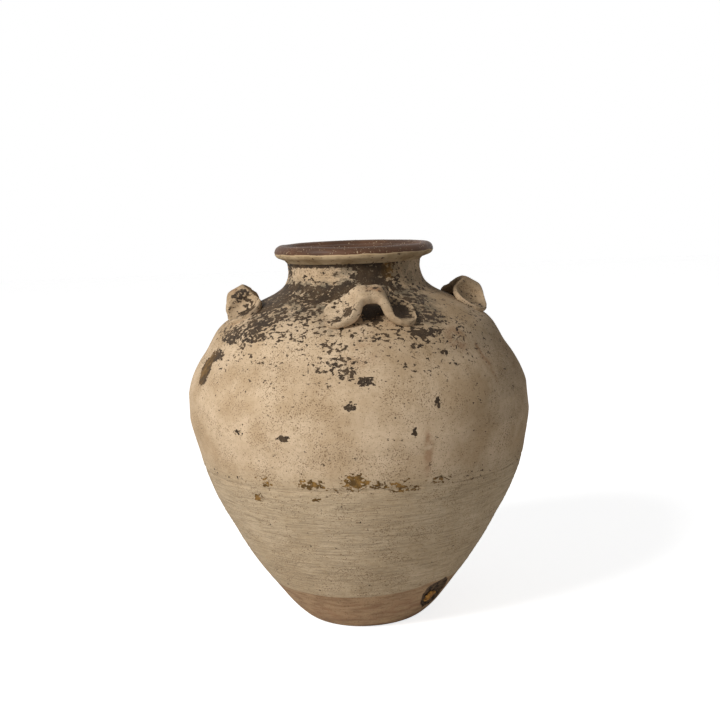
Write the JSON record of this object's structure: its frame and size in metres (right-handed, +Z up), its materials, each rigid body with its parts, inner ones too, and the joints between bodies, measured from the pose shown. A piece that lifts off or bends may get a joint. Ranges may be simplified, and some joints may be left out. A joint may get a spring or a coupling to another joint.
{
  "type": "martaban storage jar",
  "caption": "Broad-shouldered stoneware storage jar with a narrow flat foot, short neck, rolled rim and strap lugs on the shoulder for lashing down a cover.",
  "frame": {"origin": "centre of the underside of the base, on the floor the jar stands on", "axes": "+Z up the jar's axis to the mouth; -Y faces the picture's camera, and the front lug stands 7 degrees from -Y towards +X"},
  "size_m": [0.3621, 0.362, 0.4],
  "materials": {
    "slipped_stoneware": "matt, worn cream slip over dark brown stoneware",
    "bare_stoneware": "matt, unglazed",
    "brown_rim_glaze": "thin brown glaze with a dull sheen",
    "luting_slip": "matt, fired slip",
    "inner_clay": "matt, unglazed",
    "ochre_filler": "matt, crumbly"
  },
  "bodies": {
    "root": {"base_disc": "bare_stoneware", "base_coil": "inner_clay", "lower_wall": "slipped_stoneware", "belly_luting": "luting_slip", "belly_coil": "inner_clay", "upper_wall": "slipped_stoneware", "shoulder_luting": "luting_slip", "shoulder_coil": "inner_clay", "shoulder_wall": "slipped_stoneware", "neck_luting": "luting_slip", "neck_collar": "slipped_stoneware", "rim_roll": "brown_rim_glaze", "lug_front": "slipped_stoneware", "lug_right": "slipped_stoneware", "lug_back": "slipped_stoneware", "lug_left": "slipped_stoneware", "chip_filler": "ochre_filler"}
  },
  "joints": []
}
